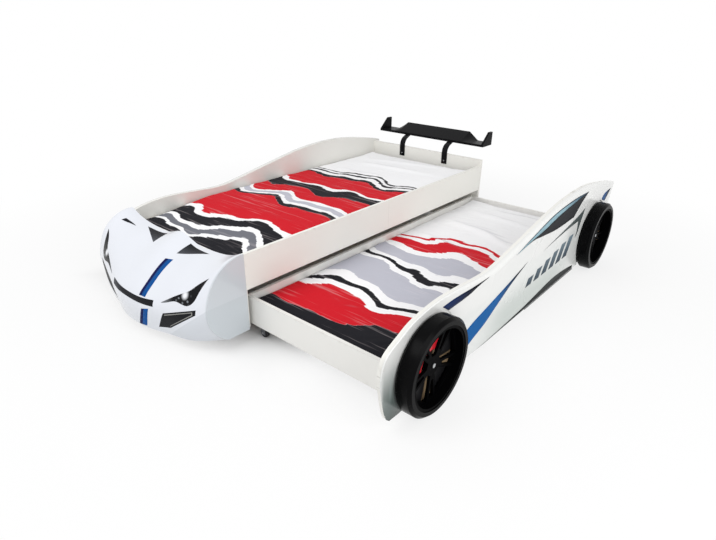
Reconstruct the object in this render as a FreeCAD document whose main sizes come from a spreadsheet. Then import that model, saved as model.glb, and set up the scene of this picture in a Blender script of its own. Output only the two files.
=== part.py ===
import FreeCAD, Part
import math
import os
import Sketcher
from FreeCAD import Rotation, Vector

# A child's car bed with a second bed that rolls out sideways from under it. The car's nose points to -X,
# the second bed comes out to -Y, and +Z is up. The origin is on the floor under the middle of the whole bed
# as it stands with the second bed pulled out. All sizes are in millimetres.

doc = FreeCAD.newDocument("car_bed")

# Driving sizes.
SIZES = (
    ("mattress_length", 2000),
    ("mattress_width", 900),
    ("mattress_height", 90),
    ("mattress_round", 22),
    ("mattress_side_gap", 21.5),
    ("mattress_front_gap", 12),
    ("coverlet_height", 6),
    ("coverlet_inset", 12),
    ("board", 18),
    ("rail_lift", 261),
    ("rail_height", 172),
    ("rear_panel_top", 474),
    ("front_panel_top", 372),
    ("glide_height", 6),
    ("glide_radius", 14),
    ("foot_inset", 150),
    ("glide_inset", 190),
    ("ledger", 25),
    ("ledger_lift", 2),
    ("ledger_end_gap", 40),
    ("slat_width", 70),
    ("slat_height", 16),
    ("slat_pitch", 150),
    ("slat_end_gap", 3),
    ("bracket_leg", 32),
    ("bracket_height", 20),
    ("bracket_steel", 2),
    ("screw_head_radius", 4),
    ("screw_head", 2),
    ("trundle_mattress_width", 850),
    ("trundle_mattress_height", 98),
    ("trundle_side_gap", 6),
    ("trundle_end_gap", 4),
    ("trundle_board", 16),
    ("trundle_board_height", 140),
    ("trundle_lift", 72),
    ("trundle_tuck", 45),
    ("bay_gap", 10),
    ("base_panel", 12),
    ("base_recess", 6),
    ("castor_inset", 38),
    ("castor_side_inset", 70),
    ("castor_radius", 25),
    ("castor_width", 18),
    ("castor_play", 0.8),
    ("castor_steel", 3),
    ("castor_plate", 40),
    ("castor_cheek", 30),
    ("castor_cheek_drop", 10),
    ("castor_round", 4),
    ("axle_radius", 4),
    ("axle_play", 0.05),
    ("axle_end", 2),
    ("hood_length", 318),
    ("hood_lift", 60),
    ("hood_top", 432),
    ("hood_wall", 5),
    ("hood_side_gap", 27),
    ("shell_length_front", 151),
    ("shell_length_rear", 75),
    ("shell_top", 554),
    ("shell_wall", 1.8),
    ("shell_crest", 24),
    ("shell_waist", 9),
    ("shell_sill", 14),
    ("shell_edge", 14),
    ("shell_lip", 1.5),
    ("sill_trim_height", 10),
    ("sill_trim_depth", 8),
    ("sill_trim_setback", 3),
    ("sill_trim_length", 640),
    ("well_depth", 3),
    ("well_gap", 10),
    ("wheel_radius", 199),
    ("wheel_lift", 3.5),
    ("wheel_width", 72),
    ("front_wheel_back", 120),
    ("rear_wheel_back", 170),
    ("tyre_shoulder", 12),
    ("rim_radius", 170),
    ("rim_wall", 6),
    ("rim_lip", 12),
    ("rim_lip_depth", 36),
    ("spoke_depth", 12),
    ("hub_radius", 32),
    ("disc_radius", 158),
    ("disc_height", 6),
    ("disc_stand", 8),
    ("caliper_inside", 60),
    ("caliper_thick", 80),
    ("caliper_height", 9),
    ("bolt_radius", 9),
    ("bolt_head", 4),
    ("wing_reach", 167),
    ("wing_chord", 125),
    ("wing_bottom", 548),
    ("wing_blade", 16),
    ("wing_rise", 54),
    ("wing_fin_top", 640),
    ("wing_fin", 16),
    ("wing_end_inset", 32),
    ("wing_plateau_inset", 181),
    ("wing_slope_run", 72),
    ("strap_width", 44),
    ("strap_steel", 4),
    ("strap_inset", 87.5),
    ("strap_foot", 400),
    ("strap_lean", 60),
)
size = doc.addObject("Spreadsheet::Sheet", "size")
for row, (name, number) in enumerate(SIZES, 1):
    size.set(f"A{row}", name)
    size.set(f"B{row}", str(number))
    size.setAlias(f"B{row}", name)

# Places worked out from the driving sizes. Lengths run from the nose back, widths from the near wheels
# across.
PLACES = (
    ("trundle_length", "size.mattress_length + 2 * (size.trundle_end_gap + size.trundle_board)"),
    ("main_inside", "trundle_length + 2 * size.bay_gap"),
    ("main_length", "main_inside + 2 * size.board"),
    ("total_length", "size.hood_length + main_length + size.wing_reach"),
    ("nose_x", "-total_length / 2"),
    ("main_front_x", "nose_x + size.hood_length"),
    ("bay_front_x", "main_front_x + size.board"),
    ("bay_rear_x", "bay_front_x + main_inside"),
    ("main_rear_x", "bay_rear_x + size.board"),
    ("trundle_front_x", "bay_front_x + size.bay_gap"),
    ("trundle_rear_x", "trundle_front_x + trundle_length"),
    ("wing_rear_x", "main_rear_x + size.wing_reach"),
    ("wing_front_x", "wing_rear_x - size.wing_chord"),
    ("shell_front_x", "trundle_front_x - size.shell_length_front"),
    ("shell_rear_x", "trundle_rear_x + size.shell_length_rear"),
    ("front_wheel_x", "trundle_front_x + size.front_wheel_back"),
    ("rear_wheel_x", "trundle_rear_x - size.rear_wheel_back"),
    ("wheel_z", "size.wheel_radius + size.wheel_lift"),
    ("main_width", "size.mattress_width + 2 * (size.mattress_side_gap + size.board)"),
    ("trundle_width", "size.trundle_mattress_width + 2 * (size.trundle_side_gap + size.trundle_board)"),
    ("trundle_reach", "trundle_width - size.trundle_tuck"),
    ("wheel_stand", "size.well_depth + size.wheel_width"),
    ("total_width", "trundle_reach + main_width + 2 * wheel_stand"),
    ("trundle_out_y", "-total_width / 2 + wheel_stand"),
    ("rail_y", "trundle_out_y + trundle_reach"),
    ("trundle_in_y", "rail_y + size.trundle_tuck"),
    ("far_y", "rail_y + main_width"),
    ("far_inside_y", "far_y - size.board"),
    ("rail_inside_y", "rail_y + size.board"),
    ("hood_far_y", "far_inside_y - size.hood_side_gap"),
    ("wing_mid_y", "rail_y + main_width / 2"),
    ("strap_spread", "main_width - 2 * (size.wing_end_inset + size.wing_plateau_inset + size.strap_inset)"),
    ("ledger_z", "size.rail_lift + size.ledger_lift"),
    ("slat_z", "ledger_z + size.ledger"),
    ("mattress_z", "slat_z + size.slat_height"),
    ("coverlet_z", "mattress_z + size.mattress_height"),
    ("trundle_top", "size.trundle_lift + size.trundle_board_height"),
    ("base_z", "size.trundle_lift + size.base_recess"),
    ("trundle_mattress_z", "base_z + size.base_panel"),
    ("trundle_coverlet_z", "trundle_mattress_z + size.trundle_mattress_height"),
    ("castor_gap", "size.castor_width + 2 * size.castor_play"),
)
at = doc.addObject("Spreadsheet::Sheet", "at")
for row, (name, formula) in enumerate(PLACES, 1):
    at.set(f"A{row}", name)
    at.set(f"B{row}", "=" + formula)
    at.setAlias(f"B{row}", name)
doc.recompute()


def mm(name):
    """The number that a driving size or a worked-out place holds."""
    sheet = size if any(name == row[0] for row in SIZES) else at
    return float(getattr(sheet, name))


# The finished sub-parts, in the order in which the bed goes together.
finished = []


def finish(part, label):
    part.Label = label
    finished.append(part)
    return part


def box(name, x, y, z):
    """A plain block between two formulas along each axis."""
    block = doc.addObject("Part::Box", name)
    for side, axis, (low, high) in (("Length", "x", x), ("Width", "y", y), ("Height", "z", z)):
        block.setExpression(side, f"({high}) - ({low})")
        block.setExpression(f"Placement.Base.{axis}", low)
    return block


def rod(name, axis, radius, length, x, y, z):
    """A round bar that starts at x, y, z and runs along one axis."""
    bar = doc.addObject("Part::Cylinder", name)
    turn = {"x": Rotation(Vector(0, 1, 0), 90), "y": Rotation(Vector(1, 0, 0), -90), "z": Rotation()}
    bar.Placement = FreeCAD.Placement(Vector(), turn[axis])
    bar.setExpression("Radius", radius)
    bar.setExpression("Height", length)
    for letter, formula in (("x", x), ("y", y), ("z", z)):
        bar.setExpression(f"Placement.Base.{letter}", formula)
    return bar


def group(name, members):
    """Separate like solids that share one node."""
    bundle = doc.addObject("Part::Compound", name)
    bundle.Links = members
    return bundle


def joined(name, members):
    whole = doc.addObject("Part::MultiFuse", name)
    whole.Shapes = members
    whole.Refine = True
    return whole


def cut(name, base, tool):
    rest = doc.addObject("Part::Cut", name)
    rest.Base = base
    rest.Tool = tool
    return rest


def shaped(name, shape):
    """A free-form piece whose shape is worked out from the sheets' numbers."""
    part = doc.addObject("Part::Feature", name)
    part.Shape = shape
    return part


def outline_sketch(body, name, plane, points):
    """A closed polygon of formula pairs, each corner held from the sketch's origin."""
    sketch = body.newObject("Sketcher::SketchObject", name)
    origin = next(f for f in body.Origin.OriginFeatures if f.Role == plane)
    sketch.AttachmentSupport = [(origin, "")]
    sketch.MapMode = "FlatFace"
    corners = [Vector(*(float(sketch.evalExpression(f)) for f in pair), 0) for pair in points]
    for start, end in zip(corners, corners[1:] + corners[:1]):
        sketch.addGeometry(Part.LineSegment(start, end))
    for index in range(len(corners)):
        following = (index + 1) % len(corners)
        sketch.addConstraint(Sketcher.Constraint("Coincident", index, 2, following, 1))
    for index, pair in enumerate(points):
        for kind, formula in zip(("DistanceX", "DistanceY"), pair):
            value = float(sketch.evalExpression(formula))
            number = sketch.addConstraint(Sketcher.Constraint(kind, -1, 1, index, 1, value))
            sketch.setExpression(f"Constraints[{number}]", formula)
    return sketch


# The main bed's box: rail, panels and floor glides. The front panel stands on a foot that is set in behind
# the front shell.
finish(box("near_rail_box", ("at.main_front_x", "at.bay_rear_x"), ("at.rail_y", "at.rail_inside_y"),
           ("size.rail_lift", "size.rail_lift + size.rail_height")), "near_rail")
panel_x = ("at.main_front_x", "at.bay_front_x")
panel_foot = box("front_panel_foot", panel_x,
                 ("at.rail_inside_y + size.foot_inset", "at.far_inside_y - size.foot_inset"),
                 ("size.glide_height", "size.hood_lift"))
panel_board = box("front_panel_board", panel_x, ("at.rail_inside_y", "at.far_inside_y"),
                  ("size.hood_lift", "size.front_panel_top"))
finish(joined("front_panel_whole", [panel_board, panel_foot]), "front_panel")
finish(box("rear_panel_box", ("at.bay_rear_x", "at.main_rear_x"), ("at.rail_y", "at.far_inside_y"),
           ("size.glide_height", "size.rear_panel_top")), "rear_panel")

glides = []
for end, x in (("front", "at.main_front_x + size.board / 2"), ("rear", "at.main_rear_x - size.board / 2")):
    for side, y in (("near", "at.rail_inside_y + size.glide_inset"),
                    ("far", "at.far_inside_y - size.glide_inset")):
        glides.append(rod(f"glide_{end}_{side}", "z", "size.glide_radius", "size.glide_height", x, y, "0"))
finish(group("glide_set", glides), "floor_glides")

# The slats lie on two ledgers. Steel angles hold the corners where the ledgers stop short.
ledger_x = ("at.bay_front_x + size.ledger_end_gap", "at.bay_rear_x - size.ledger_end_gap")
ledger_z = ("at.ledger_z", "at.slat_z")
finish(box("near_ledger_box", ledger_x, ("at.rail_inside_y", "at.rail_inside_y + size.ledger"), ledger_z),
       "near_ledger")
finish(box("far_ledger_box", ledger_x, ("at.far_inside_y - size.ledger", "at.far_inside_y"), ledger_z),
       "far_ledger")

slat_count = int((mm("main_inside") - 2 * mm("ledger_end_gap") - mm("slat_width")) // mm("slat_pitch")) + 1
slat_run = f"({slat_count - 1} * size.slat_pitch + size.slat_width)"
slats = []
for number in range(slat_count):
    start = f"(at.bay_front_x + at.bay_rear_x - {slat_run}) / 2 + {number} * size.slat_pitch"
    slats.append(box(f"slat_{number + 1}", (start, f"{start} + size.slat_width"),
                     ("at.rail_inside_y + size.slat_end_gap", "at.far_inside_y - size.slat_end_gap"),
                     ("at.slat_z", "at.mattress_z")))
finish(group("slat_set", slats), "slats")

brackets = []
bracket_screws = []
for end, corner_x, way_x in (("front", "at.bay_front_x", 1), ("rear", "at.bay_rear_x", -1)):
    for side, corner_y, way_y in (("near", "at.rail_inside_y", 1), ("far", "at.far_inside_y", -1)):
        def away(corner, way, reach):
            """The two ends of a run from a corner, in rising order."""
            ends = (corner, f"{corner} + {way} * ({reach})")
            return ends if way > 0 else ends[::-1]
        z = ("at.ledger_z", "at.ledger_z + size.bracket_height")
        along = box(f"bracket_{end}_{side}_along", away(corner_x, way_x, "size.bracket_leg"),
                    away(corner_y, way_y, "size.bracket_steel"), z)
        across = box(f"bracket_{end}_{side}_across", away(corner_x, way_x, "size.bracket_steel"),
                     away(corner_y, way_y, "size.bracket_leg"), z)
        brackets.append(joined(f"bracket_{end}_{side}", [along, across]))
        middle_z = "at.ledger_z + size.bracket_height / 2"
        head_y = away(corner_y, way_y, "size.bracket_steel")[way_y > 0]
        head_x = away(corner_x, way_x, "size.bracket_steel")[way_x > 0]
        bracket_screws.append(rod(
            f"bracket_screw_{end}_{side}_along", "y", "size.screw_head_radius", "size.screw_head",
            f"{corner_x} + {way_x} * size.bracket_leg * 2 / 3",
            head_y if way_y > 0 else f"{head_y} - size.screw_head", middle_z))
        bracket_screws.append(rod(
            f"bracket_screw_{end}_{side}_across", "x", "size.screw_head_radius", "size.screw_head",
            head_x if way_x > 0 else f"{head_x} - size.screw_head",
            f"{corner_y} + {way_y} * size.bracket_leg * 2 / 3", middle_z))
finish(group("bracket_set", brackets), "corner_brackets")
finish(group("bracket_screw_set", bracket_screws), "bracket_screws")

# The second bed: four boards round a base panel.
trundle_inside_x = ("at.trundle_front_x + size.trundle_board", "at.trundle_rear_x - size.trundle_board")
trundle_across = ("at.trundle_out_y + size.trundle_board", "at.trundle_in_y")
trundle_upright = ("size.trundle_lift", "at.trundle_top")
finish(box("trundle_front_box", ("at.trundle_front_x", trundle_inside_x[0]), trundle_across, trundle_upright),
       "trundle_front_board")
finish(box("trundle_rear_box", (trundle_inside_x[1], "at.trundle_rear_x"), trundle_across, trundle_upright),
       "trundle_rear_board")
finish(box("trundle_inner_box", trundle_inside_x, ("at.trundle_in_y - size.trundle_board", "at.trundle_in_y"),
           trundle_upright), "trundle_inner_board")
finish(box("trundle_base_box", trundle_inside_x,
           ("at.trundle_out_y + size.trundle_board", "at.trundle_in_y - size.trundle_board"),
           ("at.base_z", "at.trundle_mattress_z")), "trundle_base")

# Four castors that roll across the bed, each in a steel fork under the base panel.
castor_x = {"front": "at.trundle_front_x + size.castor_inset",
            "rear": "at.trundle_rear_x - size.castor_inset"}
castor_y = {"inner": "at.trundle_in_y - size.castor_side_inset",
            "outer": "at.trundle_out_y + size.castor_side_inset"}
forks = []
axles = []
castor_screws = []
for end, x in castor_x.items():
    for side, y in castor_y.items():
        place = f"{end}_{side}"
        plate_z = ("at.base_z - size.castor_steel", "at.base_z")
        cheek_z = ("size.castor_radius - size.castor_cheek_drop", plate_z[0])
        pieces = [box(f"plate_{place}", (f"{x} - size.castor_plate / 2", f"{x} + size.castor_plate / 2"),
                      (f"{y} - size.castor_plate", f"{y} + size.castor_plate"), plate_z)]
        for way in (-1, 1):
            inside = f"{x} + {way} * at.castor_gap / 2"
            outside = f"{x} + {way} * (at.castor_gap / 2 + size.castor_steel)"
            pieces.append(box(f"cheek_{place}_{(way + 1) // 2}",
                              (inside, outside) if way > 0 else (outside, inside),
                              (f"{y} - size.castor_cheek / 2", f"{y} + size.castor_cheek / 2"), cheek_z))
            screw = rod(f"castor_screw_{place}_{(way + 1) // 2}", "z", "size.screw_head_radius",
                        "size.screw_head", x, f"{y} + {way} * size.castor_plate * 3 / 4",
                        f"{plate_z[0]} - size.screw_head")
            castor_screws.append(screw)
        axle_x = f"{x} - at.castor_gap / 2 - size.castor_steel - size.axle_end"
        axle_length = "at.castor_gap + 2 * (size.castor_steel + size.axle_end)"
        centre_z = "size.castor_radius"
        axle = rod(f"axle_{place}", "x", "size.axle_radius", axle_length, axle_x, y, centre_z)
        hole = rod(f"axle_hole_{place}", "x", "size.axle_radius", axle_length, axle_x, y, centre_z)
        axles.append(axle)
        forks.append(cut(f"fork_{place}", joined(f"fork_blank_{place}", pieces), hole))
        tread_x = f"{x} - size.castor_width / 2"
        tread = rod(f"castor_blank_{place}", "x", "size.castor_radius", "size.castor_width",
                    tread_x, y, centre_z)
        bore = rod(f"castor_bore_{place}", "x", "size.axle_radius + size.axle_play", "size.castor_width",
                   tread_x, y, centre_z)
        ring = cut(f"castor_ring_{place}", tread, bore)
        doc.recompute()
        rounded = doc.addObject("Part::Fillet", f"castor_{place}")
        rounded.Base = ring
        rims = [number for number, edge in enumerate(ring.Shape.Edges, 1)
                if edge.Curve.TypeId == "Part::GeomCircle" and edge.Curve.Radius > mm("axle_radius") * 2]
        rounded.Edges = [(number, mm("castor_round"), mm("castor_round")) for number in rims]
        finish(rounded, f"castor_wheel_{place}")
finish(group("fork_set", forks), "castor_forks")
finish(group("axle_set", axles), "castor_axles")
finish(group("castor_screw_set", castor_screws), "castor_screws")


def rounded_rectangle(x, y, z, inset, radius):
    """A level wire with rounded corners, drawn in by inset on every side."""
    low = Vector(x[0] + inset, y[0] + inset, z)
    high = Vector(x[1] - inset, y[1] - inset, z)
    edges = []
    centres = ((high.x - radius, high.y - radius, 0), (low.x + radius, high.y - radius, 90),
               (low.x + radius, low.y + radius, 180), (high.x - radius, low.y + radius, 270))
    ends = []
    for centre_x, centre_y, start in centres:
        ring = [Vector(centre_x + radius * math.cos(math.radians(start + step)),
                       centre_y + radius * math.sin(math.radians(start + step)), z) for step in (0, 45, 90)]
        ends.append(ring)
    for number, ring in enumerate(ends):
        edges.append(Part.Arc(*ring).toShape())
        edges.append(Part.LineSegment(ring[2], ends[(number + 1) % 4][0]).toShape())
    return Part.Wire(edges)


def soft_block(x, y, base, height, levels, radius):
    """A stuffed or folded textile: level outlines drawn in by different amounts up its height."""
    wires = [rounded_rectangle(x, y, base + share * height, inset, radius) for share, inset in levels]
    return Part.makeLoft(wires, True, True)


# Mattresses draw in at the bottom and at the top edge. A coverlet lies flat on each, with a low crown.
pad_corner = 3 * mm("mattress_round")
pad_levels = ((0, mm("mattress_round") / 2), (0.2, 0), (0.8, 0), (1, mm("mattress_round")))
cover_levels = ((0, 0), (0.5, mm("coverlet_inset") / 4), (1, mm("coverlet_inset")))
beds = (("main", mm("bay_front_x") + mm("mattress_front_gap"), mm("rail_inside_y") + mm("mattress_side_gap"),
         mm("mattress_width"), mm("mattress_z"), mm("mattress_height")),
        ("trundle", mm("trundle_front_x") + mm("trundle_board") + mm("trundle_end_gap"),
         mm("trundle_out_y") + mm("trundle_board") + mm("trundle_side_gap"),
         mm("trundle_mattress_width"), mm("trundle_mattress_z"), mm("trundle_mattress_height")))
for bed, x, y, width, z, height in beds:
    span_x = (x, x + mm("mattress_length"))
    span_y = (y, y + width)
    pad = soft_block(span_x, span_y, z, height, pad_levels, pad_corner)
    finish(shaped(f"{bed}_pad", pad), f"{bed}_mattress")
    inset = mm("mattress_round") + mm("coverlet_inset")
    cover_x = (span_x[0] + inset, span_x[1] - inset)
    cover_y = (span_y[0] + inset, span_y[1] - inset)
    cover = soft_block(cover_x, cover_y, z + height, mm("coverlet_height"), cover_levels, pad_corner)
    finish(shaped(f"{bed}_cover", cover), f"{bed}_coverlet")

# The front shell: bonnet, wings and bumper in one hollow moulding, open at the back and below. Each row is
# a lengthwise section: how far in from the flank (1 at the middle), then points from the bumper's bottom edge
# up over the bonnet, as shares of the shell's length forward of its back edge and of its height.
HOOD_SECTIONS = (
    (0.00, ((0.37, 0), (0.60, 0.20), (0.67, 0.39), (0.62, 0.63), (0.51, 0.81), (0.29, 0.96), (0, 1.01))),
    (0.09, ((0.51, 0), (0.67, 0.20), (0.71, 0.39), (0.65, 0.62), (0.53, 0.79), (0.30, 0.93), (0, 0.975))),
    (0.23, ((0.70, 0), (0.77, 0.20), (0.77, 0.39), (0.70, 0.61), (0.56, 0.75), (0.32, 0.87), (0, 0.915))),
    (0.50, ((0.83, 0), (0.87, 0.20), (0.87, 0.39), (0.77, 0.57), (0.59, 0.71), (0.33, 0.83), (0, 0.875))),
    (0.77, ((0.94, 0), (0.97, 0.20), (0.96, 0.39), (0.81, 0.54), (0.62, 0.68), (0.35, 0.81), (0, 0.885))),
    (1.00, ((0.965, 0), (0.995, 0.20), (0.975, 0.39), (0.83, 0.54), (0.64, 0.69), (0.37, 0.84), (0, 0.96))),
)
hood_back_x = mm("main_front_x")
hood_rise = mm("hood_top") - mm("hood_lift")
hood_width = mm("hood_far_y") - mm("rail_y")


def hood_section(y, outline, inset):
    """One lengthwise section, drawn in by inset and then run past the open back and bottom."""
    points = [Vector(hood_back_x - along * mm("hood_length"), y, mm("hood_lift") + up * hood_rise)
              for along, up in outline]
    drawn = []
    for number, point in enumerate(points):
        before = points[max(number - 1, 0)]
        after = points[min(number + 1, len(points) - 1)]
        run = (after - before).normalize()
        drawn.append(point + Vector(run.z, 0, -run.x) * inset)
    curve = Part.BSplineCurve()
    curve.interpolate(drawn)
    back = hood_back_x + inset
    low = mm("hood_lift") - inset
    if not inset:
        corners = [drawn[-1], Vector(back, y, low), drawn[0]]
    else:
        corners = [drawn[-1], Vector(back, y, drawn[-1].z), Vector(back, y, low), Vector(drawn[0].x, y, low),
                   drawn[0]]
    lines = [Part.LineSegment(a, b).toShape() for a, b in zip(corners, corners[1:])]
    return Part.Wire([curve.toShape()] + lines)


def hood_form(inset):
    near = mm("rail_y") + inset
    far = mm("hood_far_y") - inset
    half = (far - near) / 2
    sections = [hood_section(near + share * half, outline, inset) for share, outline in HOOD_SECTIONS]
    sections += [hood_section(far - share * half, outline, inset) for share, outline in HOOD_SECTIONS[-2::-1]]
    return Part.makeLoft(sections, True, False)


hood = hood_form(0).cut(hood_form(mm("hood_wall")))

# Openings in the front shell, seen from the front (across the shell, up it) or from above (across, forward).
# Each is filled flush by its own insert.
HEADLIGHT_UPPER = ((0.269, 0.435), (0.227, 0.5), (0.182, 0.567), (0.147, 0.613), (0.113, 0.662), (0.09, 0.72),
                   (0.067, 0.77), (0.0375, 0.825))
HEADLIGHT_LOWER = ((0.0375, 0.825), (0.0535, 0.718), (0.061, 0.656), (0.07, 0.583), (0.089, 0.52),
                   (0.122, 0.485))
HEADLIGHT_INNER = ((0.122, 0.485), (0.151, 0.494), (0.179, 0.5), (0.224, 0.465), (0.269, 0.435))
HEADLIGHT = (HEADLIGHT_UPPER, HEADLIGHT_LOWER, HEADLIGHT_INNER)
SLOT_UPPER = ((0.313, 0.434), (0.5, 0.409), (0.687, 0.434))
SLOT_LOWER = ((0.687, 0.354), (0.5, 0.343), (0.313, 0.354))
INTAKE = ((0.255, 0.306), (0.06, 0.47), (0.063, 0.403), (0.228, 0.116), (0.308, 0.07), (0.255, 0.306))
VENT = ((0.395, 0.065), (0.392, 0.322), (0.22, 0.105), (0.395, 0.065))
FRONT_REACH = 0.72


def curve_through(points):
    if len(points) == 2:
        return Part.LineSegment(*points).toShape()
    curve = Part.BSplineCurve()
    curve.interpolate(points)
    return curve.toShape()


def front_prism(strokes):
    """A block through the front of the shell, from strokes of (across, up) shares."""
    def point(share):
        return Vector(mm("nose_x") - mm("hood_wall"), mm("rail_y") + share[0] * hood_width,
                      mm("hood_lift") + share[1] * hood_rise)
    edges = [curve_through([point(share) for share in stroke]) for stroke in strokes]
    ends = [(strokes[n][-1], strokes[(n + 1) % len(strokes)][0]) for n in range(len(strokes))]
    edges += [curve_through([point(a), point(b)]) for a, b in ends if a != b]
    face = Part.Face(Part.Wire(Part.__sortEdges__(edges)))
    return face.extrude(Vector(FRONT_REACH * mm("hood_length"), 0, 0))


def top_prism(outline):
    """A block down through the bonnet, from (across, forward) shares."""
    points = [Vector(hood_back_x - forward * mm("hood_length"), mm("rail_y") + across * hood_width,
                     mm("hood_lift") + hood_rise / 2) for across, forward in outline]
    return Part.Face(Part.makePolygon(points)).extrude(Vector(0, 0, hood_rise))


def mirrored(stroke):
    return tuple((1 - across, other) for across, other in stroke)


def sides(stroke):
    """The straight strokes of a closed polygon."""
    return tuple(zip(stroke, stroke[1:]))


hood_inserts = (
    ("near_headlight", front_prism(HEADLIGHT)),
    ("far_headlight", front_prism([mirrored(stroke) for stroke in HEADLIGHT])),
    ("grille_slot", front_prism((SLOT_UPPER, SLOT_LOWER))),
    ("near_intake", front_prism(sides(INTAKE))),
    ("far_intake", front_prism(sides(mirrored(INTAKE)))),
    ("near_bonnet_vent", top_prism(VENT)),
    ("far_bonnet_vent", top_prism(mirrored(VENT))),
)
pierced = hood
for label, block in hood_inserts:
    insert = max(hood.common(block).Solids, key=lambda solid: solid.Volume)
    finish(shaped(f"{label}_insert", insert), label)
    pierced = pierced.cut(block)
finish(shaped("hood_moulding", max(pierced.Solids, key=lambda solid: solid.Volume)), "hood_shell")

# Each side of the car is a board cut to the car's outline with a hollow moulding over it. A row holds a place
# along the side (0 at the front end), the outline's bottom and top as shares of the height, and how full the
# moulding is there.
SIDE_OUTLINE = (
    (0.000, 0.426, 0.487, 0.25),
    (0.003, 0.374, 0.556, 0.25),
    (0.007, 0.289, 0.597, 0.25),
    (0.013, 0.191, 0.628, 0.25),
    (0.019, 0.132, 0.646, 0.25),
    (0.026, 0.107, 0.661, 0.25),
    (0.049, 0.104, 0.702, 0.25),
    (0.066, 0.104, 0.733, 0.25),
    (0.088, 0.104, 0.758, 0.25),
    (0.120, 0.104, 0.778, 0.25),
    (0.155, 0.104, 0.787, 0.28),
    (0.199, 0.104, 0.780, 0.42),
    (0.256, 0.104, 0.764, 0.68),
    (0.291, 0.104, 0.755, 0.84),
    (0.322, 0.104, 0.758, 1.00),
    (0.358, 0.104, 0.778, 1.00),
    (0.411, 0.104, 0.818, 1.00),
    (0.508, 0.104, 0.892, 1.00),
    (0.596, 0.104, 0.957, 1.00),
    (0.662, 0.104, 0.987, 1.00),
    (0.751, 0.104, 1.000, 0.95),
    (0.817, 0.104, 0.986, 0.85),
    (0.925, 0.104, 0.921, 0.80),
    (0.976, 0.108, 0.884, 0.80),
    (1.000, 0.307, 0.863, 0.75),
)
WAIST_SHARE = 0.42


def side_rows(inset):
    """The outline at its marks and midway between them, drawn in: x, bottom, top, and how full it is."""
    length = mm("shell_rear_x") - mm("shell_front_x")
    middle = mm("shell_front_x") + length / 2
    marks = [(mm("shell_front_x") + along * length, bottom * mm("shell_top"), top * mm("shell_top"), fullness)
             for along, bottom, top, fullness in SIDE_OUTLINE]
    rows = []
    top_line = Part.BSplineCurve()
    top_line.interpolate([Vector(x, 0, top) for x, bottom, top, fullness in marks])
    knots = top_line.getKnots()
    stations = sorted(knots + [(before + after) / 2 for before, after in zip(knots, knots[1:])])
    for point in map(top_line.value, stations):
        passed = sum(mark[0] <= point.x for mark in marks[1:-1])
        start, end = marks[passed], marks[passed + 1]
        share = (point.x - start[0]) / (end[0] - start[0])
        bottom, fullness = (start[column] + share * (end[column] - start[column]) for column in (1, 3))
        x = middle + (point.x - middle) * (1 - 2 * inset / length)
        rows.append((x, bottom + inset, point.z - inset, fullness))
    return rows


def side_form(face_y, outward, inset):
    """The moulding's outer form, or with an inset its hollow, which runs out through the back."""
    sections = []
    for x, low, high, fullness in side_rows(inset):
        def point(depth, z):
            return Vector(x, face_y + outward * depth, z)
        depths = ("shell_sill", "shell_waist", "shell_crest", "shell_edge")
        sill, waist, crest, edge = (fullness * mm(name) - inset for name in depths)
        crest_point = point(crest, high - edge)
        top_point = point(crest - edge, high)
        slant = edge * (1 - math.sqrt(0.5))
        face = curve_through([point(sill, low), point(waist, low + WAIST_SHARE * (high - low)), crest_point])
        rounding = Part.Arc(crest_point, point(crest - slant, high - slant), top_point).toShape()
        corners = [top_point, point(-inset, high), point(-inset, low), point(sill, low)]
        back = [curve_through(pair) for pair in zip(corners, corners[1:])]
        sections.append(Part.Wire([face, rounding] + back))
    return Part.makeLoft(sections, True, True)


def wheel_well(x, face_y, outward, grow):
    """The round recess for one wheel, grown on all sides to leave a wall."""
    radius = mm("wheel_radius") + mm("well_gap") + grow
    start = Vector(x, face_y + outward * (mm("well_depth") - grow), mm("wheel_z"))
    return Part.makeCylinder(radius, 2 * mm("shell_crest"), start, Vector(0, outward, 0))


def side_shell(face_y, outward):
    outer = side_form(face_y, outward, 0)
    hollow = side_form(face_y, outward, mm("shell_wall"))
    for x in (mm("front_wheel_x"), mm("rear_wheel_x")):
        outer = outer.cut(wheel_well(x, face_y, outward, 0))
        hollow = hollow.cut(wheel_well(x, face_y, outward, mm("shell_wall")))
    return outer.cut(hollow)


def side_board(low_y, thickness):
    """The flat board behind a side moulding, a lip smaller than its outline."""
    rows = side_rows(mm("shell_lip"))
    points = [Vector(x, low_y, high) for x, low, high, fullness in rows]
    points += [Vector(x, low_y, low) for x, low, high, fullness in rows[::-1]]
    return Part.Face(Part.makePolygon(points + points[:1])).extrude(Vector(0, thickness, 0))


finish(shaped("near_side_blank", side_board(mm("trundle_out_y"), mm("trundle_board"))), "trundle_side_board")
finish(shaped("far_side_blank", side_board(mm("far_inside_y"), mm("board"))), "far_side_board")
finish(shaped("near_moulding", side_shell(mm("trundle_out_y"), -1)), "near_side_shell")
finish(shaped("far_moulding", side_shell(mm("far_y"), 1)), "far_side_shell")

# A dark strip under each sill, in front of the rear wheel.
sill_end = "(at.rear_wheel_x - size.wheel_radius - 2 * size.well_gap)"
sill_x = (f"{sill_end} - size.sill_trim_length", sill_end)
sill_edge = f"size.shell_top * {min(bottom for along, bottom, top, fullness in SIDE_OUTLINE)}"
sill_z = (f"{sill_edge} - size.sill_trim_height", sill_edge)
trim_out = "(size.shell_sill - size.sill_trim_setback)"
trim_in = f"({trim_out} - size.sill_trim_depth)"
finish(box("near_trim", sill_x, (f"at.trundle_out_y - {trim_out}", f"at.trundle_out_y - {trim_in}"), sill_z),
       "near_sill_trim")
finish(box("far_trim", sill_x, (f"at.far_y + {trim_in}", f"at.far_y + {trim_out}"), sill_z), "far_sill_trim")

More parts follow.
